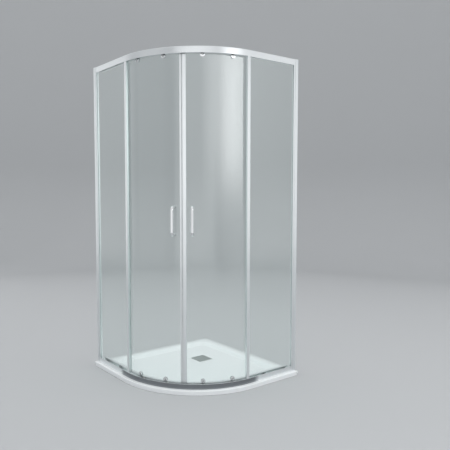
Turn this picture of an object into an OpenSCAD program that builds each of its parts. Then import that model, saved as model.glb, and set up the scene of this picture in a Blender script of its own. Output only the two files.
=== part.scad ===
// Quadrant corner shower enclosure: low tray, two fixed panels and two curved sliding doors.
// Frame: X to the right, Y to the back, Z up, millimetres. The origin is on the floor,
// below the centre of the tray's square. The walls are the planes X = -tray_side/2 and
// Y = +tray_side/2. Depths named u run inward from the outer face of the rails.

/* [Tray] */
// Side of the square that the tray fills, along both walls
tray_side = 900; // [860:1:960]
// Radius of the tray's curved front
tray_radius = 530; // [510:1:550]
// Height of the tray above the floor
tray_h = 25; // [22:0.5:40]
// Height of the lip that reaches the walls
tray_lip_h = 12; // [8:0.5:13]
// How far the lip stands over the skirt at the walls
tray_lip_reach = 8; // [2:0.5:14]
// Radius of the rounded front nose
tray_nose_r = 5; // [2:0.5:8]
// Width of the flat rim along the walls
rim_wall_w = 45; // [30:1:70]
// Width of the flat rim along the front
rim_front_w = 82; // [78:1:110]
// Width of the slope round the basin
basin_slope_w = 60; // [30:1:90]
// Drop from the rim to the edge of the basin floor
basin_drop = 12; // [6:0.5:13]
// Further fall of the basin floor to the waste
basin_fall = 1.5; // [0.5:0.25:2]

/* [Waste] */
// Centre of the waste from the left wall
waste_from_left = 325; // [300:1:450]
// Centre of the waste from the back wall
waste_from_back = 290; // [280:1:400]
// Diameter of the hole through the tray
waste_hole_d = 90; // [80:1:92]
// Outer diameter of the waste's tail
waste_tail_d = 86; // [70:1:88]
// Wall of the waste's tail
waste_tail_wall = 4; // [2:0.5:6]
// Diameter of the waste's flange
waste_flange_d = 100; // [98:1:102]
// Thickness of the waste's flange
waste_flange_t = 1.5; // [1:0.25:2]
// Thickness of the gasket below the flange
waste_gasket_t = 1; // [0.5:0.25:1.5]
// Thickness of the hair strainer
strainer_t = 1; // [0.5:0.25:1.5]
// Diameter of one strainer hole
strainer_hole_d = 6; // [4:0.5:8]
// Side of the square cover
cover_side = 100; // [98:1:112]
// Thickness of the cover plate
cover_t = 2; // [1.5:0.25:3]
// Height of the lugs that carry the cover
cover_lug_h = 1; // [0.5:0.25:2]
// Gap round the cover, which lets the water in
cover_gap = 2; // [1:0.25:4]

/* [Frame] */
// Height of the enclosure on its tray
enclosure_h = 1850; // [1700:5:2000]
// Distance from the tray's edge to the outer face of the rails
frame_inset = 22; // [16:0.5:24]
// Wall thickness of the rails and profiles
rail_wall = 2; // [1.5:0.1:2.2]
// Height of the top rail's face
top_rail_h = 34; // [32:0.5:45]
// Height of the bottom rail's face
bottom_rail_h = 29; // [27:0.5:40]
// Height of the groove lip that holds the fixed glass
groove_lip_h = 12; // [8:0.5:15]
// Thickness of the track that the wheels run on
track_t = 2; // [1.5:0.25:3]
// Radius of the rails' outer corner
rail_corner_r = 1.5; // [0.5:0.25:1.8]

/* [Wall profiles] */
// Width of the wall channel's legs, measured out from the wall
wall_profile_w = 20; // [18:0.5:20.5]
// Width of the shallow groove down the wall channel's face
face_groove_w = 2; // [1:0.25:4]
// Depth of the shallow groove down the wall channel's face
face_groove_t = 0.7; // [0.3:0.1:1]
// Width of the panel profile's outer end, measured out from the wall
panel_profile_w = 32; // [32:0.5:40]
// Depth of the panel profile
panel_profile_depth = 24; // [22:0.5:30]
// Gap between the panel profile and the wall
panel_profile_gap = 6; // [4:0.5:10]
// Depth of the glass pocket in the panel profile
glass_pocket = 9; // [7:0.5:12]
// Clearance of the panel profile inside the wall channel
channel_fit = 0.3; // [0.2:0.05:0.5]
// Thickness of the caps on top of the profiles
profile_cap_t = 2; // [1.5:0.25:4]
// Radius of the holes for the wall screws
wall_hole_r = 2.75; // [2:0.25:3.5]
// Height of the first wall screw above the tray
wall_hole_z = 75; // [50:5:150]
// Depth of the last wall screw below the top
wall_hole_top = 50; // [30:5:150]

/* [Glass] */
// Thickness of all the glass
glass_t = 6; // [5:0.25:6.5]
// Thickness of the glazing gasket beside the glass
gasket_side = 2; // [1.5:0.1:3]
// Thickness of the glazing gasket at the glass edges
gasket_edge = 3; // [2:0.25:4]
// Clear gap between the fixed glass and the door glass
door_gap = 11; // [10.5:0.25:13]
// Gap between the door glass and the bottom track
door_bottom_gap = 3; // [2:0.25:5]
// Gap between the door glass and the top track
door_top_gap = 1.5; // [1:0.25:4]

/* [Edge profiles and seals] */
// Distance of the edge profile past the start of the curve
edge_profile_shift = 4; // [2:0.5:10]
// Width of the edge profile
edge_profile_w = 21.5; // [18:0.5:26]
// How far the fixed glass enters the edge profile
edge_pocket = 11.5; // [8:0.5:14]
// Set-back of the edge profile behind the rail face
edge_setback = 1; // [0.5:0.25:1.5]
// Thickness of the edge profile's outer leg
edge_leg_t = 2.7; // [2:0.1:3]
// Thickness of the edge profile's inner leg
edge_inner_t = 2.1; // [1.6:0.1:2.3]
// Width of the draught seal on the edge profile
edge_seal_w = 6; // [4:0.5:10]
// How far the draught seal stands towards the door
edge_seal_t = 4; // [2:0.25:4.2]
// Half the width of the two meeting door profiles
meeting_half_w = 17; // [14:0.5:22]
// Distance of the meeting line from the diagonal, towards the left
meeting_shift = 5; // [0:0.5:6]
// Gap between the two magnet strips
magnet_gap = 0.3; // [0.2:0.1:1]
// Thickness of one magnet strip
magnet_t = 2.5; // [1.5:0.25:3]
// Thickness of the legs of the door profiles
door_profile_t = 2.8; // [2:0.1:3]
// Depth of the clip on the rear edge of the doors
rear_clip = 10; // [7:0.5:14]

/* [Rollers] */
// Radius of the running wheels
wheel_r = 9.5; // [8:0.25:9.75]
// Width of the running wheels
wheel_w = 6.5; // [5:0.25:8]
// Radius of the wheel axles
axle_r = 2.5; // [2:0.1:3]
// Radial clearance of the wheels on their axles
axle_fit = 0.05; // [0.02:0.01:0.1]
// Gap between the wheels and their track
track_gap = 0.3; // [0.1:0.1:0.6]
// Room for the wheels between the rail and its track
wheel_room = 21; // [20.5:0.25:22]
// Side play of the door hardware inside the rails
side_play = 6; // [5.8:0.1:7]
// Arc length from the diagonal to the front rollers
roller_front_s = 105.5; // [90:0.5:120]
// Arc length from the diagonal to the rear rollers
roller_rear_s = 276; // [260:1:300]
// Depth of the top roller holes below the top rail
roller_drop = 5; // [2:0.5:8]
// Height of the bottom roller holes above the bottom rail
roller_rise = 12; // [9:0.5:20]
// Radius of the round roller caps
roller_cap_r = 13; // [10:0.5:14]
// Thickness of the round roller caps
roller_cap_t = 4; // [3:0.25:4.2]
// Half the width of the roller plates
roller_plate_half = 12; // [9:0.5:12.5]
// Thickness of the roller plates
roller_plate_t = 2.3; // [1.5:0.1:3]
// Distance from the roller plate to the wheel
wheel_offset = 6; // [5.8:0.1:8]
// Radius of the glass holes at the rollers
roller_hole_r = 6; // [5:0.25:7]
// Radius of the roller screws
roller_screw_r = 3.5; // [2.5:0.25:4]
// Thickness of the gaskets at the rollers
roller_gasket_t = 0.5; // [0.3:0.1:1]

/* [Handles] */
// Arc length from the diagonal to the handles
handle_s = 50; // [40:1:80]
// Height of the handle's centre above the tray
handle_z = 925; // [800:5:1100]
// Distance between the two fixing holes of a handle
handle_centres = 150; // [120:1:260]
// Radius of the handle's tube
handle_r = 9; // [7:0.5:10]
// Distance from the door glass to the middle of the bar
handle_reach = 45; // [36:1:55]
// Radius of the handle's bends
handle_bend = 15; // [12:0.5:20]
// Radius of the glass holes at the handles
handle_hole_r = 5; // [4:0.25:6]
// Radius of the handle screws
handle_screw_r = 3; // [2:0.25:3.5]
// Thickness of the washers at the handles
handle_washer_t = 1; // [0.5:0.25:2]
// Radius of the round caps inside the doors
handle_cap_r = 10; // [8:0.5:12]
// Thickness of the round caps inside the doors
handle_cap_t = 12; // [8:0.5:16]

/* [Door travel] */
// How far the doors' turning centre lies behind the centre of the curve
turn_setback = 127; // [120:1:135]
// Angle from the diagonal of the radius that the turning centre lies on
turn_side = 29.5; // [28:0.5:31]
// Angle that each door turns through from shut to open
open_angle = 22.5; // [15:0.5:22.5]

/* [Hidden] */
$fn = 64;

// Plan: the walls, the centre of the curve and the face of the rails
half = tray_side / 2;
arc_x = half - tray_radius;
arc_y = -arc_x;
frame_r = tray_radius - frame_inset;
face_y = frame_inset - half;
waste_x = waste_from_left - half;
waste_y = half - waste_from_back;

// Heights
rim_z = tray_h;
top_z = tray_h + enclosure_h;
bottom_rail_z = rim_z + bottom_rail_h;
top_rail_z = top_z - top_rail_h;
floor_edge_z = rim_z - basin_drop;
floor_z = floor_edge_z - basin_fall;
bottom_track_z = rim_z + rail_wall + wheel_room;
top_track_z = top_z - rail_wall - wheel_room;
door_z0 = bottom_track_z + track_t + door_bottom_gap;
door_z1 = top_track_z - track_t - door_top_gap;
fixed_z0 = rim_z + rail_wall + gasket_edge;
fixed_z1 = top_z - rail_wall - gasket_edge;
roller_top_z = top_rail_z - roller_drop;
roller_bottom_z = bottom_rail_z + roller_rise;
wheel_top_z = top_track_z + track_gap + wheel_r;
wheel_bottom_z = bottom_track_z - track_gap - wheel_r;

// Depths, inward from the outer face of the rails
groove_u = rail_wall;
fixed_u0 = groove_u + gasket_side;
fixed_u1 = fixed_u0 + glass_t;
lip_u = fixed_u1 + gasket_side;
door_u0 = fixed_u1 + door_gap;
door_u1 = door_u0 + glass_t;
curve_relief = 0.2;
plate_u0 = door_u1 + curve_relief + roller_gasket_t;
plate_u1 = plate_u0 + roller_plate_t;
wheel_u0 = plate_u1 + wheel_offset;
wheel_u1 = wheel_u0 + wheel_w;
track_clear = 0.5;
track_u = plate_u1 + side_play + track_clear;
inner_u = wheel_u1 + side_play;
rail_depth = inner_u + rail_wall;

// Doors: radius of the glass middle, its rear end, and the turning centre of the left door
door_r = frame_r - (door_u0 + door_u1) / 2;
rear_s = door_r * PI / 4;
clip_gap = 0.2;
strip_inset = 1;
turn_x = arc_x - turn_setback * cos(-45 - turn_side);
turn_y = arc_y - turn_setback * sin(-45 - turn_side);
fin_w = 2;
seal_fit = 0.4;
seal_clear = 6;

// Small sizes that belong to fixings
cut = 1;
join = 0.5;
head_r = 4;
head_t = 2;
shank_r = 2;
shank_fit = 0.1;

// Angle in plan of the radius that lies s along the door glass from the diagonal
function side_angle(s) = -45 - s / door_r * 180 / PI;
// A point turned about a centre
function turned(p, c, a) = [
    c[0] + cos(a) * (p[0] - c[0]) - sin(a) * (p[1] - c[1]),
    c[1] + sin(a) * (p[0] - c[0]) + cos(a) * (p[1] - c[1])
];
// Where the left rear wheel stands when its door is fully open
wheel_mid_r = frame_r - (wheel_u0 + wheel_u1) / 2;
rear_wheel_shut = [
    arc_x + wheel_mid_r * cos(side_angle(roller_rear_s)),
    arc_y + wheel_mid_r * sin(side_angle(roller_rear_s))
];
rear_wheel_open = turned(rear_wheel_shut, [turn_x, turn_y], -open_angle);

// Colours
alu = [0.82, 0.85, 0.86];
polished = [0.72, 0.75, 0.76];
clear_glass = [0.78, 0.86, 0.85, 0.35];
tray_white = [0.94, 0.95, 0.96];
grey_rubber = [0.55, 0.57, 0.58];
clear_pvc = [0.80, 0.83, 0.83];
steel = [0.62, 0.65, 0.64];
nylon = [0.90, 0.90, 0.88];

// The right half is the left half, mirrored across the diagonal of the corner
module right_half() {
    mirror([1, 1, 0]) children();
}

// A cross-section, drawn as radius and height, run along the straight, curved and straight front
module along_front(x0, y1) {
    translate([x0, arc_y, 0]) rotate([90, 0, 90]) linear_extrude(arc_x - x0) mirror([1, 0]) children();
    translate([arc_x, arc_y, 0]) rotate([0, 0, -90]) rotate_extrude(angle = 90) children();
    right_half() translate([-y1, arc_y, 0]) rotate([90, 0, 90])
        linear_extrude(arc_x + y1) mirror([1, 0]) children();
}

// A rectangle of a rail's cross-section, between two depths and two heights
module depth_box(u0, u1, z0, z1) {
    translate([frame_r - u1, z0]) square([u1 - u0, z1 - z0]);
}

// A block of the left half: between two distances from the wall, two depths and two heights
module wall_block(v0, v1, u0, u1, z0, z1) {
    translate([v0 - half, face_y + u0, z0]) cube([v1 - v0, u1 - u0, z1 - z0]);
}

// A curved piece of a door, between two arc lengths, two depths and two heights
module door_piece(s0, s1, u0, u1, z0, z1) {
    translate([arc_x, arc_y, z0]) rotate([0, 0, side_angle(s1)])
        rotate_extrude(angle = side_angle(s0) - side_angle(s1))
            translate([frame_r - u1, 0]) square([u1 - u0, z1 - z0]);
}

// The frame of a spot on a door: X points out along the radius
module at_door(s) {
    translate([arc_x, arc_y, 0]) rotate([0, 0, side_angle(s)]) children();
}

// A round bar along the radius, from an inner depth out to an outer one
module radial_rod(u_in, u_out, r, z) {
    translate([frame_r - u_in, 0, z]) rotate([0, 90, 0]) cylinder(h = u_in - u_out, r = r);
}

// A round ring along the radius
module radial_ring(u_in, u_out, r, hole_r, z) {
    difference() {
        radial_rod(u_in, u_out, r, z);
        radial_rod(u_in + cut, u_out - cut, hole_r, z);
    }
}

// Outline of the tray, drawn in from the walls and from the front
module tray_outline(wall_in, front_in) {
    intersection() {
        union() {
            translate([-half, front_in - half]) square([arc_x + half, tray_side - front_in]);
            translate([-half, arc_y]) square([tray_side - front_in, half - arc_y]);
            translate([arc_x, arc_y]) circle(r = tray_radius - front_in, $fn = 96);
        }
        translate([wall_in - half, -half]) square([tray_side, tray_side - wall_in]);
    }
}

// Rounded front nose of the tray, as radius and height
module nose_section() {
    translate([tray_radius - 2 * tray_nose_r, 0]) square([2 * tray_nose_r, tray_h - tray_nose_r]);
    translate([tray_radius - 2 * tray_nose_r, 0]) square([tray_nose_r, tray_h]);
    translate([tray_radius - tray_nose_r, tray_h - tray_nose_r]) circle(r = tray_nose_r);
}

skin = 0.01;
recess_side = cover_side + 2 * cover_gap;
recess_z = floor_z - cover_t - cover_lug_h - strainer_t - waste_flange_t - waste_gasket_t;

// Shallow basin that falls to the waste
module basin_cut() {
    hull() {
        translate([0, 0, rim_z]) linear_extrude(cut) tray_outline(rim_wall_w, rim_front_w);
        translate([0, 0, floor_edge_z]) linear_extrude(skin)
            tray_outline(rim_wall_w + basin_slope_w, rim_front_w + basin_slope_w);
    }
    hull() {
        translate([0, 0, floor_edge_z]) linear_extrude(skin)
            tray_outline(rim_wall_w + basin_slope_w, rim_front_w + basin_slope_w);
        translate([waste_x - recess_side / 2, waste_y - recess_side / 2, floor_z])
            cube([recess_side, recess_side, skin]);
    }
}

module shower_tray() {
    color(tray_white) difference() {
        union() {
            linear_extrude(tray_h) tray_outline(0, tray_nose_r);
            along_front(-half, half) nose_section();
        }
        translate([-half - cut, -half - cut, -cut])
            cube([tray_lip_reach + cut, tray_side + 2 * cut, tray_h - tray_lip_h + cut]);
        translate([-half - cut, half - tray_lip_reach, -cut])
            cube([tray_side + 2 * cut, tray_lip_reach + cut, tray_h - tray_lip_h + cut]);
        basin_cut();
        translate([waste_x - recess_side / 2, waste_y - recess_side / 2, recess_z])
            cube([recess_side, recess_side, tray_h]);
        translate([waste_x, waste_y, -cut]) cylinder(h = tray_h, r = waste_hole_d / 2);
    }
}

flange_z = recess_z + waste_gasket_t;
strainer_z = flange_z + waste_flange_t;
cover_z = strainer_z + strainer_t + cover_lug_h;
tail_clear = 0.5;

module waste_flange() {
    color(steel) translate([waste_x, waste_y, 0]) difference() {
        union() {
            translate([0, 0, flange_z]) cylinder(h = waste_flange_t, r = waste_flange_d / 2);
            translate([0, 0, tail_clear]) cylinder(h = flange_z - tail_clear + cut, r = waste_tail_d / 2);
        }
        translate([0, 0, -cut]) cylinder(h = tray_h, r = waste_tail_d / 2 - waste_tail_wall);
    }
}

gasket_inset = 1;
gasket_hole_clear = 0.5;

module waste_gasket() {
    color(grey_rubber) translate([waste_x, waste_y, recess_z]) difference() {
        cylinder(h = waste_gasket_t, r = waste_flange_d / 2 - gasket_inset);
        translate([0, 0, -cut])
            cylinder(h = waste_gasket_t + 2 * cut, r = waste_hole_d / 2 + gasket_hole_clear);
    }
}

strainer_inset = 3;
strainer_pitch = 10.5;
strainer_r = waste_flange_d / 2 - strainer_inset;

module hair_strainer() {
    color(steel) translate([waste_x, waste_y, strainer_z]) difference() {
        cylinder(h = strainer_t, r = strainer_r);
        translate([0, 0, -cut]) for (ring = [1, 2, 3])
            for (i = [0 : 6 * ring - 1])
                rotate([0, 0, i * 60 / ring]) translate([ring * strainer_pitch, 0, 0])
                    cylinder(h = strainer_t + 2 * cut, r = strainer_hole_d / 2, $fn = 20);
    }
}

lug_side = 12;
lug_in = 9;

module waste_cover() {
    color(steel) translate([waste_x, waste_y, cover_z]) {
        translate([-cover_side / 2, -cover_side / 2, 0]) cube([cover_side, cover_side, cover_t]);
        for (i = [0 : 3]) rotate([0, 0, 45 + 90 * i])
            translate([strainer_r - lug_in - lug_side / 2, -lug_side / 2, -cover_lug_h])
                cube([lug_side, lug_side, cover_lug_h]);
    }
}

// The face wall's upper edge, rounded on the outside
module rail_corner(z) {
    intersection() {
        depth_box(0, rail_wall, z - rail_corner_r, z);
        union() {
            depth_box(rail_corner_r, rail_wall, z - rail_corner_r, z);
            translate([frame_r - rail_corner_r, z - rail_corner_r]) circle(r = rail_corner_r);
        }
    }
}

// Cross-section of the bottom rail: face, base, glass groove and covered wheel track
module bottom_section() {
    bottom_face_section();
    depth_box(0, rail_depth, rim_z, rim_z + rail_wall);
    depth_box(lip_u, lip_u + rail_wall, rim_z, rim_z + rail_wall + groove_lip_h);
    depth_box(inner_u, rail_depth, rim_z, bottom_track_z + track_t);
    depth_box(track_u, rail_depth, bottom_track_z, bottom_track_z + track_t);
}

// Cross-section of the top rail: the same parts, upside down
module top_section() {
    top_face_section();
    depth_box(rail_wall, rail_depth, top_z - rail_wall, top_z);
    depth_box(lip_u, lip_u + rail_wall, top_z - rail_wall - groove_lip_h, top_z);
    depth_box(inner_u, rail_depth, top_track_z - track_t, top_z);
    depth_box(track_u, rail_depth, top_track_z - track_t, top_track_z);
}

rail_end = panel_profile_w - half;
face_end_v = wall_profile_w + channel_fit;

module bottom_face_section() {
    depth_box(0, rail_wall, rim_z, bottom_rail_z - rail_corner_r);
    rail_corner(bottom_rail_z);
}

module top_face_section() {
    depth_box(0, rail_wall, top_rail_z, top_z - rail_corner_r);
    rail_corner(top_z);
}

// The face wall alone runs on over the panel profile, up to the wall channel
module face_end() {
    translate([face_end_v - half, arc_y, 0]) rotate([90, 0, 90])
        linear_extrude(panel_profile_w - face_end_v + cut) mirror([1, 0]) children();
}

module bottom_rail() {
    color(polished) {
        along_front(rail_end, -rail_end) bottom_section();
        face_end() bottom_face_section();
        right_half() face_end() bottom_face_section();
    }
}

module top_rail() {
    color(alu) {
        along_front(rail_end, -rail_end) top_section();
        face_end() top_face_section();
        right_half() face_end() top_face_section();
    }
}

// Wall channel: screwed to the wall, with the panel profile inside it
profile_z1 = top_z - profile_cap_t;
channel_u0 = -channel_fit - rail_wall;
channel_u1 = panel_profile_depth + channel_fit + rail_wall;
web_v = panel_profile_w - glass_pocket - rail_wall;
wall_screw_count = 4;
wall_hole_pitch = (enclosure_h - wall_hole_z - wall_hole_top) / (wall_screw_count - 1);

module wall_profile() {
    color(alu) difference() {
        union() {
            wall_block(0, rail_wall, channel_u0, channel_u1, rim_z, profile_z1);
            wall_block(0, wall_profile_w, channel_u0, channel_u0 + rail_wall, rim_z, profile_z1);
            wall_block(0, wall_profile_w, channel_u1 - rail_wall, channel_u1, rim_z, profile_z1);
        }
        wall_block((wall_profile_w - face_groove_w) / 2, (wall_profile_w + face_groove_w) / 2,
            channel_u0 - cut, channel_u0 + face_groove_t, rim_z - cut, top_z);
        translate([-half - cut, face_y + panel_profile_depth / 2, rim_z + wall_hole_z])
            for (i = [0 : wall_screw_count - 1]) translate([0, 0, i * wall_hole_pitch])
                rotate([0, 90, 0]) cylinder(h = rail_wall + 2 * cut, r = wall_hole_r);
        profile_screw_holes();
    }
}

// Places of the screws that join the panel profile to the wall channel
profile_screw_v = (panel_profile_gap + wall_profile_w) / 2;
profile_screw_end = 150;
profile_screw_zs = [rim_z + profile_screw_end, rim_z + enclosure_h / 2, top_z - profile_screw_end];
profile_screw_len = 2 * rail_wall + channel_fit + 1;
connector_screw_u = (lip_u + panel_profile_depth) / 2;
connector_h = 18;
connector_len = 24;
connector_fit = 0.3;
connector_bottom_z = rim_z + rail_wall;
connector_top_z = top_z - rail_wall - connector_h;

module at_profile_screws() {
    for (z = profile_screw_zs)
        translate([profile_screw_v - half, face_y + channel_u1, z]) rotate([90, 0, 0]) children();
}

module profile_screw_holes() {
    at_profile_screws() translate([0, 0, -cut])
        cylinder(h = 2 * rail_wall + channel_fit + 2 * cut, r = shank_r + shank_fit);
}

module at_connector_screws() {
    for (z = [connector_bottom_z + connector_h / 2, connector_top_z + connector_h / 2])
        translate([web_v - half, face_y + connector_screw_u, z]) rotate([0, 90, 0]) children();
}

// Panel profile: outer leg, web, inner leg and the lip of the glass pocket
module panel_profile() {
    color(alu) difference() {
        union() {
            wall_block(panel_profile_gap, panel_profile_w, 0, rail_wall, rim_z, profile_z1);
            wall_block(web_v, web_v + rail_wall, 0, panel_profile_depth, rim_z, profile_z1);
            wall_block(panel_profile_gap, web_v + rail_wall, panel_profile_depth - rail_wall,
                panel_profile_depth, rim_z, profile_z1);
            wall_block(web_v, panel_profile_w, lip_u, lip_u + rail_wall, rim_z, profile_z1);
        }
        wall_block(wall_profile_w, panel_profile_w + cut, -cut, groove_u, rim_z - cut, bottom_rail_z);
        wall_block(wall_profile_w, panel_profile_w + cut, -cut, groove_u, top_rail_z, top_z);
        profile_screw_holes();
        at_connector_screws() translate([0, 0, -cut])
            cylinder(h = rail_wall + 2 * cut, r = shank_r + shank_fit);
    }
}

module profile_screw_set() {
    at_profile_screws() {
        translate([0, 0, -head_t]) cylinder(h = head_t, r = head_r);
        cylinder(h = profile_screw_len, r = shank_r);
    }
}

module profile_screws() {
    color(steel) {
        profile_screw_set();
        right_half() profile_screw_set();
    }
}

cap_plug_h = 5;
cap_plug_fit = 0.3;

// Cap on top of the wall channel and the panel profile, with a plug that holds it
module profile_cap() {
    wall_block(0, wall_profile_w, channel_u0, channel_u1, profile_z1, top_z);
    wall_block(wall_profile_w - cut, panel_profile_w - cap_plug_fit, groove_u + cap_plug_fit,
        panel_profile_depth, profile_z1, top_z);
    wall_block(panel_profile_gap, web_v - cap_plug_fit, groove_u + cap_plug_fit,
        panel_profile_depth - rail_wall - cap_plug_fit, profile_z1 - cap_plug_h, profile_z1 + cut);
}

module profile_caps() {
    color(alu) {
        profile_cap();
        right_half() profile_cap();
    }
}

// Corner blocks that join the rails to the panel profiles and close the rail ends
connector_u0 = lip_u + rail_wall + connector_fit;
connector_u1 = track_u - connector_fit;
end_cap_t = 2;

module rail_connector(z0, cap_z0, cap_z1) {
    difference() {
        union() {
            wall_block(web_v + rail_wall, panel_profile_w + connector_len, connector_u0, connector_u1,
                z0, z0 + connector_h);
            wall_block(panel_profile_w - end_cap_t, panel_profile_w, connector_u1 - cut, rail_depth,
                cap_z0, cap_z1);
        }
        translate([web_v + rail_wall - half - cut, face_y + connector_screw_u, z0 + connector_h / 2])
            rotate([0, 90, 0]) cylinder(h = connector_len + cut, r = shank_r + shank_fit);
    }
}

module rail_connector_pair() {
    rail_connector(connector_bottom_z, rim_z, bottom_track_z + track_t);
    rail_connector(connector_top_z, top_track_z - track_t, top_z);
}

module rail_connectors() {
    color(grey_rubber) {
        rail_connector_pair();
        right_half() rail_connector_pair();
    }
}

connector_screw_len = 20;
connector_head_r = 3.5;

module connector_screw_set() {
    at_connector_screws() {
        translate([0, 0, -head_t]) cylinder(h = head_t, r = connector_head_r);
        cylinder(h = connector_screw_len, r = shank_r);
    }
}

module connector_screws() {
    color(steel) {
        connector_screw_set();
        right_half() connector_screw_set();
    }
}

// Rubber stops in the rails, behind the rear wheels of the open doors
stop_len = 14;
stop_gap = 1.5;
stop_side = 1;
stop_x1 = rear_wheel_open[0] - wheel_r - stop_gap;
stop_h = 16;

module door_stop_pair() {
    for (z = [top_track_z, rim_z + rail_wall])
        translate([stop_x1 - stop_len, face_y + track_u + stop_side, z])
            cube([stop_len, inner_u - track_u - stop_side, stop_h]);
}

module door_stops() {
    color(grey_rubber) {
        door_stop_pair();
        right_half() door_stop_pair();
    }
}

// Fixed panel: flat glass, its gasket and the profile on its free edge
edge_x0 = arc_x + edge_profile_shift;
glass_end_gap = 1;
glass_x0 = web_v + rail_wall + glass_end_gap - half;
glass_x1 = edge_x0 + edge_pocket;

module fixed_glass() {
    color(clear_glass) translate([glass_x0, face_y + fixed_u0, fixed_z0])
        cube([glass_x1 - glass_x0, glass_t, fixed_z1 - fixed_z0]);
}

module glazing_gasket() {
    color(grey_rubber) difference() {
        union() {
            wall_block(web_v + rail_wall, panel_profile_w, groove_u, lip_u, fixed_z0, fixed_z1);
            wall_block(panel_profile_w, arc_x + half, groove_u, lip_u,
                rim_z + rail_wall, rim_z + rail_wall + groove_lip_h);
            wall_block(panel_profile_w, arc_x + half, groove_u, lip_u,
                top_z - rail_wall - groove_lip_h, top_z - rail_wall);
        }
        translate([glass_x0, face_y + fixed_u0, fixed_z0])
            cube([tray_side, glass_t, fixed_z1 - fixed_z0]);
    }
}

edge_glass_fit = 0.3;
edge_glass_gap = 0.5;
edge_inner_u0 = fixed_u1 + edge_glass_fit;
edge_inner_u1 = edge_inner_u0 + edge_inner_t;
edge_web_h = edge_inner_u1 - edge_setback;

module edge_profile() {
    color(alu) translate([edge_x0, face_y, bottom_rail_z]) linear_extrude(top_rail_z - bottom_rail_z) {
        translate([0, edge_setback]) square([edge_profile_w, edge_leg_t]);
        translate([0, edge_inner_u0]) square([edge_profile_w, edge_inner_t]);
        translate([edge_pocket + edge_glass_gap, edge_setback]) square([rail_wall, edge_web_h]);
        translate([edge_profile_w - rail_wall, edge_setback]) square([rail_wall, edge_web_h]);
    }
}

seal_z0 = roller_bottom_z + roller_cap_r + seal_clear;
seal_z1 = roller_top_z - roller_cap_r - seal_clear;

module edge_seal() {
    color(clear_pvc) translate([edge_x0, face_y + edge_inner_u1, seal_z0])
        cube([edge_seal_w, edge_seal_t, seal_z1 - seal_z0]);
}

// Doors: the arc length of the meeting line is positive towards the door's own side
clip_u0 = door_u0 - clip_gap - door_profile_t;
clip_u1 = door_u1 + clip_gap + door_profile_t;

module door_glass(meet_s) {
    color(clear_glass) difference() {
        door_piece(meet_s + magnet_gap / 2 + magnet_t + rail_wall + clip_gap, rear_s,
            door_u0, door_u1, door_z0, door_z1);
        at_door(roller_front_s) roller_holes();
        at_door(roller_rear_s) roller_holes();
        at_door(handle_s) for (z = handle_zs)
            radial_rod(door_u1 + cut, door_u0 - cut, handle_hole_r, z);
    }
}

module roller_holes() {
    for (z = [roller_bottom_z, roller_top_z])
        radial_rod(door_u1 + cut, door_u0 - cut, roller_hole_r, z);
}

// Aluminium channel on the front edge of a door, which holds the magnet strip
module magnet_profile(meet_s) {
    s0 = meet_s + magnet_gap / 2 + magnet_t;
    color(alu) {
        door_piece(s0, s0 + rail_wall, clip_u0, clip_u1, door_z0, door_z1);
        door_piece(s0, meeting_half_w, clip_u0, clip_u0 + door_profile_t, door_z0, door_z1);
        door_piece(s0, meeting_half_w, clip_u1 - door_profile_t, clip_u1, door_z0, door_z1);
    }
}

module magnet_strip(meet_s) {
    s0 = meet_s + magnet_gap / 2;
    color(clear_pvc) door_piece(s0, s0 + magnet_t, clip_u0 + strip_inset, clip_u1 - strip_inset,
        door_z0, door_z1);
}

// Clip on the rear edge of a door, with the fin that closes against the draught seal
module rear_profile() {
    fin_s = rear_s - edge_profile_shift + seal_fit;
    color(clear_pvc) {
        door_piece(rear_s - rear_clip, rear_s + clip_gap + rail_wall, clip_u0,
            clip_u0 + door_profile_t, door_z0, door_z1);
        door_piece(rear_s - rear_clip, rear_s + clip_gap + rail_wall, clip_u1 - door_profile_t,
            clip_u1, door_z0, door_z1);
        door_piece(rear_s + clip_gap, rear_s + clip_gap + rail_wall, clip_u0, clip_u1, door_z0, door_z1);
        door_piece(fin_s, fin_s + fin_w, edge_inner_u1 + edge_seal_t / 2, clip_u0 + join,
            seal_z0, seal_z1);
    }
}

// Bow handle: one bar, two bends and two legs that stand on the glass
module handle() {
    bar_x = frame_r - door_u0 + handle_reach;
    leg_x = frame_r - door_u0 + handle_washer_t;
    color(polished) at_door(handle_s) difference() {
        union() {
            translate([bar_x, 0, handle_low_z + handle_bend])
                cylinder(h = handle_centres - 2 * handle_bend, r = handle_r);
            translate([0, 0, rim_z + handle_z]) for (side = [0, 1]) mirror([0, 0, side]) {
                translate([bar_x - handle_bend, 0, handle_centres / 2 - handle_bend]) rotate([90, 0, 0])
                    rotate_extrude(angle = 90) translate([handle_bend, 0]) circle(r = handle_r);
                translate([leg_x, 0, handle_centres / 2]) rotate([0, 90, 0])
                    cylinder(h = bar_x - handle_bend - leg_x, r = handle_r);
            }
        }
        for (z = handle_zs) translate([leg_x - cut, 0, z]) rotate([0, 90, 0])
            cylinder(h = handle_thread + cut, r = handle_screw_r + shank_fit);
    }
}

handle_thread = 16;
handle_screw_grip = 15;
sleeve_fit = 0.1;

// Washers on both faces of the glass, with the sleeves that line the hole
module glass_washers(r, hole_r, screw_r, t, z) {
    mid_u = (door_u0 + door_u1) / 2;
    inner_u0 = door_u1 + curve_relief;
    bore_r = screw_r + shank_fit;
    sleeve_r = hole_r - sleeve_fit;
    radial_ring(door_u0, door_u0 - t, r, bore_r, z);
    radial_ring(mid_u - sleeve_fit, door_u0 - t / 2, sleeve_r, bore_r, z);
    radial_ring(inner_u0 + t, inner_u0, r, bore_r, z);
    radial_ring(inner_u0 + t / 2, mid_u + sleeve_fit, sleeve_r, bore_r, z);
}

handle_low_z = rim_z + handle_z - handle_centres / 2;
handle_zs = [handle_low_z, handle_low_z + handle_centres];
handle_washer_inset = 0.5;

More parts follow.
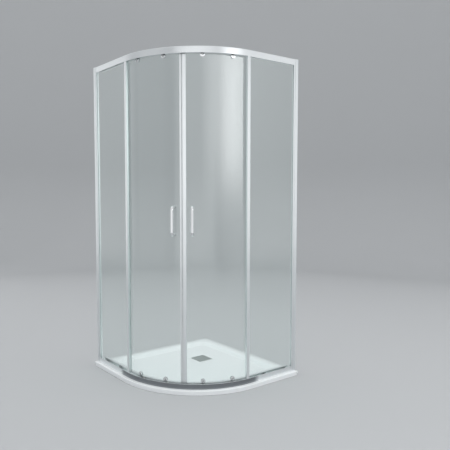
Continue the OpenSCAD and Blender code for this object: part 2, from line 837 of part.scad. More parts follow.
module handle_washers() {
    color(grey_rubber) at_door(handle_s) for (z = handle_zs)
        glass_washers(handle_cap_r - handle_washer_inset, handle_hole_r, handle_screw_r, handle_washer_t, z);
}

// The round cap hides the head of the handle screw, which sits on the cap's floor
handle_cap_u = door_u1 + curve_relief + handle_washer_t;
handle_head_t = 3;
handle_head_r = 5;
handle_cap_floor = 2;
head_u = handle_cap_u + handle_cap_floor;

module handle_caps() {
    color(polished) at_door(handle_s) for (z = handle_zs)
        difference() {
            radial_rod(handle_cap_u + handle_cap_t, handle_cap_u, handle_cap_r, z);
            radial_rod(head_u + handle_head_t + shank_fit, head_u, handle_head_r + shank_fit, z);
            radial_rod(head_u + cut, handle_cap_u - cut, handle_screw_r + shank_fit, z);
        }
}

module handle_screws() {
    color(steel) at_door(handle_s) for (z = handle_zs) {
        radial_rod(head_u + handle_head_t, head_u, handle_head_r, z);
        radial_rod(head_u + join, door_u0 - handle_washer_t - handle_screw_grip, handle_screw_r, z);
    }
}

// Roller plate on the inside of the glass, with the axle that carries a wheel
axle_collar_r = 4.5;
axle_head_r = 4;
collar_gap = 0.2;
axle_head_t = 0.6;
axle_end_u = wheel_u1 + collar_gap + axle_head_t;

module roller_plate(hole_z, axle_z, end_r) {
    z_low = min(hole_z, axle_z);
    difference() {
        union() {
            radial_rod(plate_u1, plate_u0, roller_plate_half, hole_z);
            translate([frame_r - plate_u1, -end_r, z_low])
                cube([roller_plate_t, 2 * end_r, abs(axle_z - hole_z)]);
            radial_rod(plate_u1, plate_u0, end_r, axle_z);
        }
        radial_rod(plate_u1 + cut, plate_u0 - cut, roller_screw_r + shank_fit, hole_z);
    }
    radial_rod(wheel_u0 - collar_gap, plate_u1 - cut, axle_collar_r, axle_z);
    radial_rod(axle_end_u, wheel_u0 - collar_gap - cut, axle_r, axle_z);
    radial_rod(axle_end_u, wheel_u1 + collar_gap, axle_head_r, axle_z);
}

plate_end_r = 7;

module top_hangers() {
    color(steel) for (s = [roller_front_s, roller_rear_s])
        at_door(s) roller_plate(roller_top_z, wheel_top_z, plate_end_r);
}

module bottom_guides() {
    color(steel) for (s = [roller_front_s, roller_rear_s])
        at_door(s) roller_plate(roller_bottom_z, wheel_bottom_z, plate_end_r);
}

cap_u1 = door_u0 - roller_gasket_t;
cap_u0 = cap_u1 - roller_cap_t;
cap_rim_w = 3.5;
cap_boss_w = 1.2;
cap_dish_t = 1.2;
roller_head_r = 6;
roller_head_t = 1.6;
roller_head_set = 0.2;

// Round cap on the outside of the glass, dished round its screw
module roller_cap(z) {
    difference() {
        radial_rod(cap_u1, cap_u0, roller_cap_r, z);
        radial_ring(cap_u0 + cap_dish_t, cap_u0 - cut, roller_cap_r - cap_rim_w,
            roller_head_r + cap_boss_w, z);
        radial_rod(cap_u0 + roller_head_t, cap_u0 - cut, roller_head_r + shank_fit, z);
        radial_rod(cap_u1 + cut, cap_u0 - cut, roller_screw_r + shank_fit, z);
    }
}

module roller_caps() {
    color(polished) for (s = [roller_front_s, roller_rear_s])
        at_door(s) for (z = [roller_bottom_z, roller_top_z]) roller_cap(z);
}

module roller_gaskets() {
    color(grey_rubber) for (s = [roller_front_s, roller_rear_s])
        at_door(s) for (z = [roller_bottom_z, roller_top_z])
            glass_washers(roller_plate_half - gasket_inset, roller_hole_r, roller_screw_r,
                roller_gasket_t, z);
}

nut_t = 3;

module roller_screws() {
    color(steel) for (s = [roller_front_s, roller_rear_s])
        at_door(s) for (z = [roller_bottom_z, roller_top_z]) {
            radial_rod(cap_u0 + roller_head_t, cap_u0 + roller_head_set, roller_head_r, z);
            radial_rod(plate_u1 + nut_t, cap_u0 + roller_head_t - join, roller_screw_r, z);
            radial_rod(plate_u1 + nut_t, plate_u1, roller_head_r, z);
        }
}

hub_recess_r0 = 4.5;
hub_recess_r1 = 7.5;
hub_recess_t = 0.8;

// Running wheel with a plain bore and a ring recess in each face
module wheel(s, z) {
    color(nylon) at_door(s) difference() {
        radial_rod(wheel_u1, wheel_u0, wheel_r, z);
        radial_rod(wheel_u1 + cut, wheel_u0 - cut, axle_r + axle_fit, z);
        radial_ring(wheel_u0 + hub_recess_t, wheel_u0 - cut, hub_recess_r1, hub_recess_r0, z);
        radial_ring(wheel_u1 + cut, wheel_u1 - hub_recess_t, hub_recess_r1, hub_recess_r0, z);
    }
}

shower_tray();
waste_flange();
waste_gasket();
hair_strainer();
waste_cover();
bottom_rail();
top_rail();
wall_profile();  // wall_profile_left
right_half() wall_profile();  // wall_profile_right
panel_profile();  // panel_profile_left
right_half() panel_profile();  // panel_profile_right
profile_screws();
profile_caps();
rail_connectors();
connector_screws();
door_stops();
fixed_glass();  // fixed_glass_left
right_half() fixed_glass();  // fixed_glass_right
glazing_gasket();  // glazing_gasket_left
right_half() glazing_gasket();  // glazing_gasket_right
edge_profile();  // edge_profile_left
right_half() edge_profile();  // edge_profile_right
edge_seal();  // edge_seal_left
right_half() edge_seal();  // edge_seal_right
door_glass(meeting_shift);  // door_glass_left
right_half() door_glass(-meeting_shift);  // door_glass_right
rear_profile();  // rear_profile_left
right_half() rear_profile();  // rear_profile_right
magnet_profile(meeting_shift);  // magnet_profile_left
right_half() magnet_profile(-meeting_shift);  // magnet_profile_right
magnet_strip(meeting_shift);  // magnet_strip_left
right_half() magnet_strip(-meeting_shift);  // magnet_strip_right
handle();  // handle_left
right_half() handle();  // handle_right
handle_washers();  // handle_washers_left
right_half() handle_washers();  // handle_washers_right
handle_caps();  // handle_caps_left
right_half() handle_caps();  // handle_caps_right
handle_screws();  // handle_screws_left
right_half() handle_screws();  // handle_screws_right
top_hangers();  // top_hangers_left
right_half() top_hangers();  // top_hangers_right
bottom_guides();  // bottom_guides_left
right_half() bottom_guides();  // bottom_guides_right
roller_caps();  // roller_caps_left
right_half() roller_caps();  // roller_caps_right
roller_gaskets();  // roller_gaskets_left
right_half() roller_gaskets();  // roller_gaskets_right
roller_screws();  // roller_screws_left
right_half() roller_screws();  // roller_screws_right
wheel(roller_front_s, wheel_top_z);  // top_wheel_left_front
wheel(roller_rear_s, wheel_top_z);  // top_wheel_left_rear
right_half() wheel(roller_front_s, wheel_top_z);  // top_wheel_right_front
right_half() wheel(roller_rear_s, wheel_top_z);  // top_wheel_right_rear
wheel(roller_front_s, wheel_bottom_z);  // bottom_wheel_left_front
wheel(roller_rear_s, wheel_bottom_z);  // bottom_wheel_left_rear
right_half() wheel(roller_front_s, wheel_bottom_z);  // bottom_wheel_right_front
right_half() wheel(roller_rear_s, wheel_bottom_z);  // bottom_wheel_right_rear
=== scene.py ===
"""Quadrant corner shower enclosure: finishes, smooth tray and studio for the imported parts."""

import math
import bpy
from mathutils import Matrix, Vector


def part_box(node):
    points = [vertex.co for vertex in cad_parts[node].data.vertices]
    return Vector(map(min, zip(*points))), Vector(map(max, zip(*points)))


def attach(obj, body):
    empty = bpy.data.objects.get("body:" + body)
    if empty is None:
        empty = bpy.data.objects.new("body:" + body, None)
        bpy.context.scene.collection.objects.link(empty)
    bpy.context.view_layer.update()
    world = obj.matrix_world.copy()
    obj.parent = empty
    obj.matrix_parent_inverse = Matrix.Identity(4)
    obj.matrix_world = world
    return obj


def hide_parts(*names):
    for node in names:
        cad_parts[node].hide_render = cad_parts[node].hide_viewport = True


bl_info = {
    "name": "Corner Shower Enclosure",
    "version": (1, 0, 0),
    "blender": (4, 5, 0),
    "location": "View3D > Sidebar > Shower",
    "description": "Finishes, smooth tray and studio for a quadrant shower enclosure",
    "category": "Object",
}

import bmesh
import bpy
from bpy.props import FloatProperty, FloatVectorProperty, PointerProperty
from mathutils import Matrix, Vector

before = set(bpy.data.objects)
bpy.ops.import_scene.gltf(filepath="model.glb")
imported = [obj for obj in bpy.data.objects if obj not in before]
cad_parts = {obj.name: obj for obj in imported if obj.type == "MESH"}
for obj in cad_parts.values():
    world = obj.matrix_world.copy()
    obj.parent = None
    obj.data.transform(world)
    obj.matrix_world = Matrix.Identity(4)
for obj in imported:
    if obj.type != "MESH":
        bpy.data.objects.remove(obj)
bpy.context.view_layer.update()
TRAY_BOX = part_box("shower_tray")
COVER_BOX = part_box("waste_cover")
FLANGE_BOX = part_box("waste_flange")
RAIL_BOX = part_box("top_rail")
SIDES = ("left", "right")
ENDS = ("front", "rear")


# Sizes and colours that a user may change


def length(name, description, default):
    """A size in metres."""
    return FloatProperty(
        name=name, description=description, default=default, min=0.0, unit="LENGTH", precision=4
    )


def strength(name, description, default):
    """Brightness of a light, where 1 is white."""
    return FloatProperty(name=name, description=description, default=default, min=0.0)


def colour(name, description, default):
    """A colour in linear red, green and blue."""
    return FloatVectorProperty(
        name=name, description=description, default=default, size=3, min=0.0, max=1.0, subtype="COLOR"
    )


class ShowerTraySizes(bpy.types.PropertyGroup):
    """Sizes of the low quadrant tray."""

    front_radius: length("Front radius", "Radius of the tray's curved front", 0.530)
    nose_radius: length("Nose radius", "Radius of the rounded front nose", 0.005)
    lip_round: length("Lip round", "How far the lip's edge at the walls is rounded in", 0.001)
    lip_reach: length("Lip reach", "How far the lip stands over the skirt at the walls", 0.008)
    lip_height: length("Lip height", "Height of the lip at the walls", 0.012)
    wall_rim: length("Wall rim", "Width of the flat rim along the walls", 0.045)
    front_rim: length("Front rim", "Width of the flat rim along the front", 0.082)
    slope: length("Slope", "Width of the slope round the basin", 0.060)
    drop: length("Drop", "Drop from the rim to the edge of the basin floor", 0.012)
    fall: length("Fall", "Further fall of the basin floor to the waste", 0.0015)
    basin_corner: length("Basin corner", "Radius of the basin's corners at the rim", 0.080)
    cover_gap: length("Cover gap", "Gap round the waste cover", 0.002)
    recess_round: length("Recess round", "Radius of the rounded edge of the waste recess", 0.0012)
    hole_radius: length("Waste hole", "Radius of the hole for the waste", 0.045)
    recess_floor: length("Recess floor", "Height of the recess floor below the waste cover", 0.005)


class ShowerColours(bpy.types.PropertyGroup):
    """Colours of the finishes."""

    tray: colour("Tray", "Gloss white acrylic", (0.90, 0.92, 0.93))
    aluminium: colour("Aluminium", "Satin anodised profiles", (0.86, 0.885, 0.895))
    polished: colour("Polished aluminium", "Bright top rail", (0.86, 0.885, 0.895))
    # The curved track colour is a painted dark reflection, laid on the bottom rail's curved outer face
    track: colour("Curved track", "Mirror polish on the bottom rail's curved face", (0.27, 0.285, 0.30))
    chrome: colour("Chrome", "Handles and roller caps", (0.82, 0.83, 0.84))
    steel: colour("Steel", "Screws, hangers and guides", (0.62, 0.64, 0.64))
    cover: colour("Waste cover", "Brushed stainless steel", (0.44, 0.48, 0.47))
    rubber: colour("Rubber", "Waste and roller gaskets and stops", (0.40, 0.42, 0.43))
    glazing: colour("Glazing gaskets", "Pale grey gaskets of the fixed glass", (0.62, 0.65, 0.66))
    plastic: colour("Plastic", "Grey connectors", (0.60, 0.62, 0.63))
    seal: colour("Seals", "Clear soft seals", (0.82, 0.86, 0.86))
    nylon: colour("Nylon", "White wheels", (0.86, 0.86, 0.84))
    glass: colour("Glass", "Tint of the clear glass", (0.93, 0.975, 0.965))
    floor: colour("Studio", "Pale floor and backdrop", (0.50, 0.51, 0.52))


class ShowerStudio(bpy.types.PropertyGroup):
    """Floor, lamps and camera."""

    floor_radius: length("Floor radius", "Radius of the flat part of the floor", 4.2)
    sweep: length("Sweep", "Radius of the curve from the floor to the backdrop", 1.5)
    wall_height: length("Backdrop height", "Height of the round backdrop", 5.0)
    sky: strength("Sky", "Strength of the even light from all round", 1.0)
    key: strength("Key light", "Radiance of the bright soft light", 1.6)
    glass_light: strength("Glass light", "Radiance of the light that the door glass mirrors", 2.6)
    panels: strength("Panels", "Radiance of the soft panels round the enclosure", 0.5)
    overhead: strength("Overhead light", "Radiance of the light above", 2.0)
    lens: FloatProperty(name="Lens", description="Focal length in mm", default=42.55, min=1.0)
    shift: FloatProperty(name="Shift", description="Sideways shift of the lens", default=0.0868)
    camera_place: FloatVectorProperty(
        name="Camera",
        description="Place of the camera",
        default=(2.5973, -1.9485, 1.1198),
        size=3,
        subtype="XYZ",
        unit="LENGTH",
    )
    camera_turn: FloatVectorProperty(
        name="Camera angles",
        description="Yaw, pitch and roll of the camera",
        default=(math.radians(143.879), math.radians(-3.797), math.radians(-0.228)),
        size=3,
        subtype="EULER",
        unit="ROTATION",
    )


def sizes():
    return bpy.context.scene.shower_tray_sizes


def colours():
    return bpy.context.scene.shower_colours


def studio():
    return bpy.context.scene.shower_studio


# Shader nodes


def put(tree, kind, inputs=None, **settings):
    """Adds a node; an input is a value or the socket that feeds it."""
    made = tree.nodes.new(kind)
    for name, value in settings.items():
        setattr(made, name, value)
    for key, value in (inputs or {}).items():
        if isinstance(value, bpy.types.NodeSocket):
            tree.links.new(value, made.inputs[key])
        else:
            made.inputs[key].default_value = value
    return made


def blank_material(name):
    """A material without nodes."""
    material = bpy.data.materials.new(name)
    material.use_nodes = True
    material.node_tree.nodes.clear()
    return material, material.node_tree


def maths(tree, operation, a, b=0.0):
    return put(tree, "ShaderNodeMath", {0: a, 1: b}, operation=operation).outputs[0]


def remap(tree, value, low, high, to_low=0.0, to_high=1.0, **settings):
    """Takes a value from one range to another."""
    ranges = {0: value, 1: low, 2: high, 3: to_low, 4: to_high}
    return put(tree, "ShaderNodeMapRange", ranges, **settings).outputs[0]


def noise(tree, vector, scale, detail):
    """Soft grain between 0 and 1."""
    return put(tree, "ShaderNodeTexNoise", {0: vector, "Scale": scale, "Detail": detail}).outputs["Fac"]


def apart(tree, vector):
    """The X, Y and Z of a vector."""
    return put(tree, "ShaderNodeSeparateXYZ", {0: vector}).outputs


def place_vector(tree):
    """Place on the object, in metres of the shared frame."""
    return put(tree, "ShaderNodeTexCoord").outputs["Object"]


def upright_vector(tree):
    """Runs slowly up the profiles, so that fine grain becomes long vertical draw lines."""
    return put(tree, "ShaderNodeMapping", {0: place_vector(tree), "Scale": (1.0, 1.0, 0.004)}).outputs[0]


def brushed_vector(tree):
    """Runs slowly along X, for a sheet brushed in one direction."""
    return put(tree, "ShaderNodeMapping", {0: place_vector(tree), "Scale": (0.02, 1.0, 1.0)}).outputs[0]


def rail_vector(tree):
    """Depth and height on the rails, so that fine grain runs along their straight and curved parts."""
    centre = TRAY_BOX[1].x - sizes().front_radius
    axes = apart(tree, place_vector(tree))
    out_x = maths(tree, "MAXIMUM", maths(tree, "SUBTRACT", axes["X"], centre))
    out_y = maths(tree, "MAXIMUM", maths(tree, "SUBTRACT", -centre, axes["Y"]))
    flat = put(tree, "ShaderNodeCombineXYZ", {0: out_x, 1: out_y}).outputs[0]
    depth = put(tree, "ShaderNodeVectorMath", {0: flat}, operation="LENGTH").outputs["Value"]
    return put(tree, "ShaderNodeCombineXYZ", {0: depth, 1: axes["Z"]}).outputs[0]


# Share of the fine grain in a finish, where the rest is broad patches, and the part of their range over
# which the gloss changes
GRAIN_SHARE = 0.6
GRAIN_RANGE = (0.3, 0.7)
PATCH_SCALE = 6.0


def surface(name, tint, vector, scale, rough, spread, tone=0.03, bump=0.0, depth=0.0002, **fixed):
    """A finish whose grain and faint patches vary its tone and gloss, and whose grain gives its relief.
    The fixed values go on the shader's own sockets."""
    material, tree = blank_material(name)
    grain = noise(tree, vector(tree), scale, 3.0)
    patches = noise(tree, place_vector(tree), PATCH_SCALE, 2.0)
    fine = maths(tree, "MULTIPLY", grain, GRAIN_SHARE)
    broad = maths(tree, "MULTIPLY", patches, 1.0 - GRAIN_SHARE)
    mixed = maths(tree, "ADD", fine, broad)
    low = [c * (1.0 - tone) for c in tint] + [1.0]
    high = [min(1.0, c * (1.0 + tone)) for c in tint] + [1.0]
    shade = put(tree, "ShaderNodeMix", {0: mixed, 6: low, 7: high}, data_type="RGBA").outputs[2]
    gloss = remap(tree, mixed, *GRAIN_RANGE, rough - spread, rough + spread)
    shader = put(tree, "ShaderNodeBsdfPrincipled", {"Base Color": shade, "Roughness": gloss})
    for socket, value in fixed.items():
        shader.inputs[socket].default_value = value
    if bump:
        relief = put(tree, "ShaderNodeBump", {"Strength": bump, "Distance": depth, "Height": grain})
        tree.links.new(relief.outputs[0], shader.inputs["Normal"])
    put(tree, "ShaderNodeOutputMaterial", {0: shader.outputs[0]})
    return material, tree, shader


def metal(name, tint, vector, scale, rough, spread, **more):
    """A metal finish."""
    return surface(name, tint, vector, scale, rough, spread, Metallic=1.0, **more)[0]


def let_light_by(tree, shader, tint):
    """Lets the light of lamps, and what bare metal and the tray mirror or gather, pass unbent."""
    path = put(tree, "ShaderNodeLightPath").outputs
    thin = put(tree, "ShaderNodeBsdfTransparent", {0: [0.5 + 0.5 * c for c in tint] + [1.0]}).outputs[0]
    shown = shader.outputs[0]
    for kind in ("Is Shadow Ray", "Is Reflection Ray"):
        shown = put(tree, "ShaderNodeMixShader", {0: path[kind], 1: shown, 2: thin}).outputs[0]
    return shown


# The glass: how much it bends light, the green of its depth, and the roughest place of its film. A
# rougher film would show as spots.
GLASS_IOR = 1.52
GLASS_DEPTH = {"Color": (0.62, 0.86, 0.80, 1.0), "Density": 5.0}
GLASS_FILM = 0.003


def clear_glass(name, tint):
    """Clear toughened glass: green in its depth, with a trace of unevenness in its gloss. Lamps shine
    through it."""
    material, tree = blank_material(name)
    film = noise(tree, place_vector(tree), 1.5, 1.0)
    sockets = {
        "Base Color": (*tint, 1.0),
        "Roughness": remap(tree, film, *GRAIN_RANGE, 0.0, GLASS_FILM),
        "IOR": GLASS_IOR,
        "Transmission Weight": 1.0,
    }
    shader = put(tree, "ShaderNodeBsdfPrincipled", sockets)
    body = put(tree, "ShaderNodeVolumeAbsorption", GLASS_DEPTH)
    put(tree, "ShaderNodeOutputMaterial", {0: let_light_by(tree, shader, tint), 1: body.outputs[0]})
    return material


# Scale of the fine grain that drawing leaves on the aluminium, in waves to the metre
DRAWN_GRAIN = 1400.0

# Where the bottom rail carries a painted dark reflection and a mirror polish: metres past the start of
# the curve, metres from the rail's outer face, and the lean of the surface. Each goes from none to full.
PAINTED_REFLECTION_AND_POLISH_ALONG = (-0.075, -0.03)
PAINTED_REFLECTION_AND_POLISH_DEPTH = (-0.0016, -0.0014)
PAINTED_REFLECTION_AND_POLISH_LEAN = (0.8, 0.5)
POLISH_ROUGHNESS = 0.1


def curved_rail_painted_reflection(tint, painted_tone):
    """Bright aluminium whose curved outer face is polished like a mirror and painted darker than the
    satin ends: a painted dark reflection.
    """
    grain = (rail_vector, DRAWN_GRAIN, 0.3, 0.04)
    material, tree, shader = surface("curved_rail_painted_reflection", tint, *grain, bump=0.04, Metallic=1.0)
    centre = TRAY_BOX[1].x - sizes().front_radius
    axes = apart(tree, place_vector(tree))
    past_x = maths(tree, "SUBTRACT", axes["X"], centre)
    past_y = maths(tree, "SUBTRACT", -centre, axes["Y"])
    along = maths(tree, "MINIMUM", past_x, past_y)
    depth = apart(tree, rail_vector(tree))["X"]
    lean = apart(tree, put(tree, "ShaderNodeNewGeometry").outputs["Normal"])["Z"]
    face = RAIL_BOX[1].x - centre
    share = 1.0
    # Mask of the painted dark reflection and the polish: along the curve, on the outer face, on faces
    # that stand upright
    for value, (low, high) in (
        (along, PAINTED_REFLECTION_AND_POLISH_ALONG),
        (maths(tree, "SUBTRACT", depth, face), PAINTED_REFLECTION_AND_POLISH_DEPTH),
        (maths(tree, "ABSOLUTE", lean), PAINTED_REFLECTION_AND_POLISH_LEAN),
    ):
        step = remap(tree, value, low, high, interpolation_type="SMOOTHSTEP")
        share = maths(tree, "MULTIPLY", step, share)
    satin, rough = (shader.inputs[name].links[0].from_socket for name in ("Base Color", "Roughness"))
    # The masked face takes the painted dark reflection in place of the satin tone
    reflection_painted = put(tree, "ShaderNodeMix", {0: share, 6: satin, 7: [*painted_tone, 1.0]}, data_type="RGBA")
    glossed = put(tree, "ShaderNodeMix", {0: share, 2: rough, 3: POLISH_ROUGHNESS})
    tree.links.new(reflection_painted.outputs[2], shader.inputs["Base Color"])
    tree.links.new(glossed.outputs[0], shader.inputs["Roughness"])
    return material


def clear_seal(name, tint):
    """Translucent soft plastic."""
    through = {"IOR": 1.45, "Transmission Weight": 0.45}
    return surface(name, tint, upright_vector, 900.0, 0.3, 0.08, tone=0.04, bump=0.15, **through)[0]


def plastic(name, tint, scale, rough, spread, **more):
    """A finish with the same grain in all directions, for plastic, rubber and paper."""
    return surface(name, tint, place_vector, scale, rough, spread, **more)[0]


def white_acrylic(name, tint):
    """Gloss white with a clear skin."""
    skin = {"Coat Weight": 0.3, "Coat Roughness": 0.08}
    return plastic(name, tint, 60.0, 0.2, 0.05, tone=0.012, bump=0.03, depth=0.0004, **skin)


def drawn(name, tint, vector, rough, spread, bump):
    """Aluminium with the fine lines of its drawing."""
    return metal(name, tint, vector, DRAWN_GRAIN, rough, spread, bump=bump)


# For each slot, the finish with its scale of grain, its roughness and how far that varies
FINISHES = {
    "white_tray": lambda c: white_acrylic("white_acrylic", c.tray),
    "brushed_waste_steel": lambda c: metal(
        "brushed_waste_steel", c.cover, brushed_vector, 900.0, 0.34, 0.08, tone=0.14, bump=0.25
    ),
    "grey_rubber": lambda c: plastic("grey_rubber", c.rubber, 700.0, 0.62, 0.08, tone=0.08, bump=0.2),
    "polished_aluminium": lambda c: drawn("polished_aluminium", c.polished, rail_vector, 0.3, 0.04, 0.05),
    # The bottom rail's finish, with a painted dark reflection on its curved outer face
    "curved_rail_painted_reflection": lambda c: curved_rail_painted_reflection(c.polished, c.track),
    "glazing_rubber": lambda c: plastic(
        "glazing_rubber", c.glazing, 700.0, 0.55, 0.08, tone=0.05, bump=0.2
    ),
    "satin_aluminium": lambda c: drawn("satin_aluminium", c.aluminium, upright_vector, 0.34, 0.05, 0.12),
    "stainless_steel": lambda c: metal(
        "stainless_steel", c.steel, place_vector, 300.0, 0.3, 0.08, tone=0.06, bump=0.1
    ),
    "grey_plastic": lambda c: plastic("grey_plastic", c.plastic, 900.0, 0.5, 0.06, tone=0.04, bump=0.2),
    "clear_glass": lambda c: clear_glass("clear_glass", c.glass),
    "clear_seal": lambda c: clear_seal("clear_seal", c.seal),
    "chrome_plate": lambda c: metal("chrome_plate", c.chrome, place_vector, 30.0, 0.06, 0.02, tone=0.01),
    "white_nylon": lambda c: plastic("white_nylon", c.nylon, 500.0, 0.42, 0.06, tone=0.03, bump=0.1),
}
made_finishes = {}


def finish(slot):
    """The finish for one of the record's material slots, made once."""
    if slot not in made_finishes:
        made = FINISHES[slot](colours())
        made.name = "finish_" + slot
        made_finishes[slot] = made
    return made_finishes[slot]


def each_side(*kinds):
    """The left and the right part of each kind."""
    return [f"{kind}_{side}" for kind in kinds for side in SIDES]


def dress(*nodes, other=None):
    """Gives CAD parts the fine finish of their own slot, or another finish made for the same slot."""
    for name in nodes:
        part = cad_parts[name]
        for held in part.material_slots:
            held.material = finish(other or held.material.name)


# The smooth tray

# Steps of the tray's mesh: round its corners, round the curved front, along the straight sides, and over
# each rounding and slope
CORNER_STEPS = 8
FRONT_STEPS = 64
SIDE_STEPS = (12, 12, 24, 24)
NOSE_STEPS = 8
SLOPE_STEPS = 16
FALL_STEPS = 8
RECESS_STEPS = 4

# Points nearer to each other than this are one point
SAME_PLACE = 1e-6

# Smallest radius of a corner, so that each outline keeps its number of points
SHARP_RADIUS = 0.0003


def corner(centre, radius, start, count):
    """Points of a quarter round, anticlockwise from the start angle in degrees."""
    turns = [math.radians(start + 90.0 * i / count) for i in range(count + 1)]
    return [(centre[0] + radius * math.cos(t), centre[1] + radius * math.sin(t)) for t in turns]


def between(a, b, share):
    """The point at a share of the way from a to b."""
    return (a[0] + (b[0] - a[0]) * share, a[1] + (b[1] - a[1]) * share)


def tray_outline(wall_in, front_in, corner_r):
    """Outline of the tray, drawn in from the walls and the front; it always has as many points."""
    s = sizes()
    left, back = TRAY_BOX[0].x + wall_in, TRAY_BOX[1].y - wall_in
    right, front = TRAY_BOX[1].x - front_in, TRAY_BOX[0].y + front_in
    middle = TRAY_BOX[1].x - s.front_radius
    r = max(corner_r, SHARP_RADIUS)
    parts = [
        corner((left + r, front + r), r, 180.0, CORNER_STEPS),
        corner((middle, -middle), s.front_radius - front_in, 270.0, FRONT_STEPS),
        corner((right - r, back - r), r, 0.0, CORNER_STEPS),
        corner((left + r, back - r), r, 90.0, CORNER_STEPS),
    ]
    points = []
    for here, following, count in zip(parts, parts[1:] + parts[:1], SIDE_STEPS):
        points += here + [between(here[-1], following[0], i / count) for i in range(1, count)]
    return points


def toward(points, centre, reach):
    """Moves each point along its line from the centre to the shape that reach(angle) describes."""
    placed = []
    for x, y in points:
        angle = math.atan2(y - centre[1], x - centre[0])
        r = reach(angle)
        placed.append((centre[0] + r * math.cos(angle), centre[1] + r * math.sin(angle)))
    return placed


def square_reach(half):
    """The reach of a square with this half width."""
    return lambda angle: half / max(abs(math.cos(angle)), abs(math.sin(angle)))


def ease(t):
    """A smooth way from 0 to 1."""
    return t * t * (3.0 - 2.0 * t)


def tray_rings():
    """Closed loops of points from the waste hole's lower edge, out under the tray, up, and back in over
    the basin."""
    s = sizes()
    top = TRAY_BOX[1].z
    centre = ((FLANGE_BOX[0].x + FLANGE_BOX[1].x) / 2, (FLANGE_BOX[0].y + FLANGE_BOX[1].y) / 2)
    half = (COVER_BOX[1].x - COVER_BOX[0].x) / 2 + s.cover_gap
    rings = []

    def ring(points, z):
        rings.append([(x, y, z) for x, y in points])

    def hole_reach(angle):
        return s.hole_radius

    base = tray_outline(s.lip_reach, 0.0, 0.0)
    ring(toward(base, centre, hole_reach), 0.0)
    ring(base, 0.0)
    ring(base, top - s.lip_height)
    ring(tray_outline(0.0, 0.0, 0.0), top - s.lip_height)
    for i in range(NOSE_STEPS + 1):
        turn = math.radians(90.0 * i / NOSE_STEPS)
        inward = 1.0 - math.cos(turn)
        nose = tray_outline(s.lip_round * inward, s.nose_radius * inward, 0.0)
        ring(nose, top - s.nose_radius * (1.0 - math.sin(turn)))
    for i in range(SLOPE_STEPS + 1):
        t = i / SLOPE_STEPS
        inward = s.slope * t
        foot = tray_outline(s.wall_rim + inward, s.front_rim + inward, s.basin_corner - 0.5 * inward)
        ring(foot, top - s.drop * ease(t))
    edge = toward(foot, centre, square_reach(half + s.recess_round))
    for i in range(1, FALL_STEPS + 1):
        t = i / FALL_STEPS
        ring([between(a, b, t) for a, b in zip(foot, edge)], top - s.drop - s.fall * t)
    for i in range(1, RECESS_STEPS + 1):
        turn = math.radians(90.0 * i / RECESS_STEPS)
        wide = half + s.recess_round * (1.0 - math.sin(turn))
        deep = s.recess_round * (1.0 - math.cos(turn))
        ring(toward(foot, centre, square_reach(wide)), top - s.drop - s.fall - deep)
    ring(toward(foot, centre, square_reach(half)), s.recess_floor)
    hole = toward(foot, centre, hole_reach)
    ring(hole, s.recess_floor)
    ring(hole, 0.0)
    return rings


def loft(name, rings, sharp=35.0):
    """A mesh through rings with as many points each; edges sharper than the angle stay crisp."""
    mesh = bmesh.new()
    rows = [[mesh.verts.new(p) for p in points] for points in rings]
    for a, b in zip(rows, rows[1:]):
        for i in range(len(a)):
            j = (i + 1) % len(a)
            mesh.faces.new((a[i], a[j], b[j], b[i]))
    bmesh.ops.remove_doubles(mesh, verts=mesh.verts, dist=SAME_PLACE)
    bmesh.ops.dissolve_degenerate(mesh, edges=mesh.edges, dist=SAME_PLACE)
    bmesh.ops.recalc_face_normals(mesh, faces=mesh.faces)
    crease_and_smooth(mesh, sharp)
    return as_object(name, mesh)


def crease_and_smooth(mesh, sharp):
    """Smooth faces, with edges sharper than the angle in degrees kept crisp."""
    for face in mesh.faces:
        face.smooth = True
    for edge in mesh.edges:
        if len(edge.link_faces) == 2 and edge.calc_face_angle(0.0) > math.radians(sharp):
            edge.smooth = False


def as_object(name, mesh):
    """Puts a mesh into the scene as an object of its own."""
    data = bpy.data.meshes.new(name)
    mesh.to_mesh(data)
    mesh.free()
    made = bpy.data.objects.new(name, data)
    bpy.context.scene.collection.objects.link(made)
    return made


# Operators, one for each piece or group of like pieces


class SHOWER_OT_tray(bpy.types.Operator):
    """Builds the smooth white tray with its basin, nose and waste recess"""

    bl_idname = "shower.tray"
    bl_label = "White tray"

    def execute(self, context):
        tray = loft("white_tray", tray_rings())
        tray.data.materials.append(finish("white_tray"))
        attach(tray, "enclosure")
        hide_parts("shower_tray")
        return {"FINISHED"}


class SHOWER_OT_waste(bpy.types.Operator):
    """Finishes the waste: flange, gasket, hair strainer and square cover"""

    bl_idname = "shower.waste"
    bl_label = "Waste"

    def execute(self, context):
        dress("waste_flange", "waste_gasket", "hair_strainer", "waste_cover")
        return {"FINISHED"}


class SHOWER_OT_rails(bpy.types.Operator):
    """Finishes the curved top and bottom rails"""

    bl_idname = "shower.rails"
    bl_label = "Rails"

    def execute(self, context):
        dress("top_rail", "rail_connectors", "connector_screws", "door_stops")
        # The bottom rail takes the finish with the painted dark reflection
        dress("bottom_rail", other="curved_rail_painted_reflection")
        return {"FINISHED"}


class SHOWER_OT_wall_profiles(bpy.types.Operator):
    """Finishes the wall channels, the panel profiles, their caps and screws"""

    bl_idname = "shower.wall_profiles"
    bl_label = "Wall profiles"

    def execute(self, context):
        dress(*each_side("wall_profile", "panel_profile"))
        dress("profile_caps", "profile_screws")
        return {"FINISHED"}


class SHOWER_OT_fixed_panels(bpy.types.Operator):
    """Finishes the fixed glass, its gaskets, edge profiles and draught seals"""

    bl_idname = "shower.fixed_panels"
    bl_label = "Fixed panels"

    def execute(self, context):
        dress(*each_side("fixed_glass", "edge_profile", "edge_seal"))
        dress(*each_side("glazing_gasket"), other="glazing_rubber")
        return {"FINISHED"}


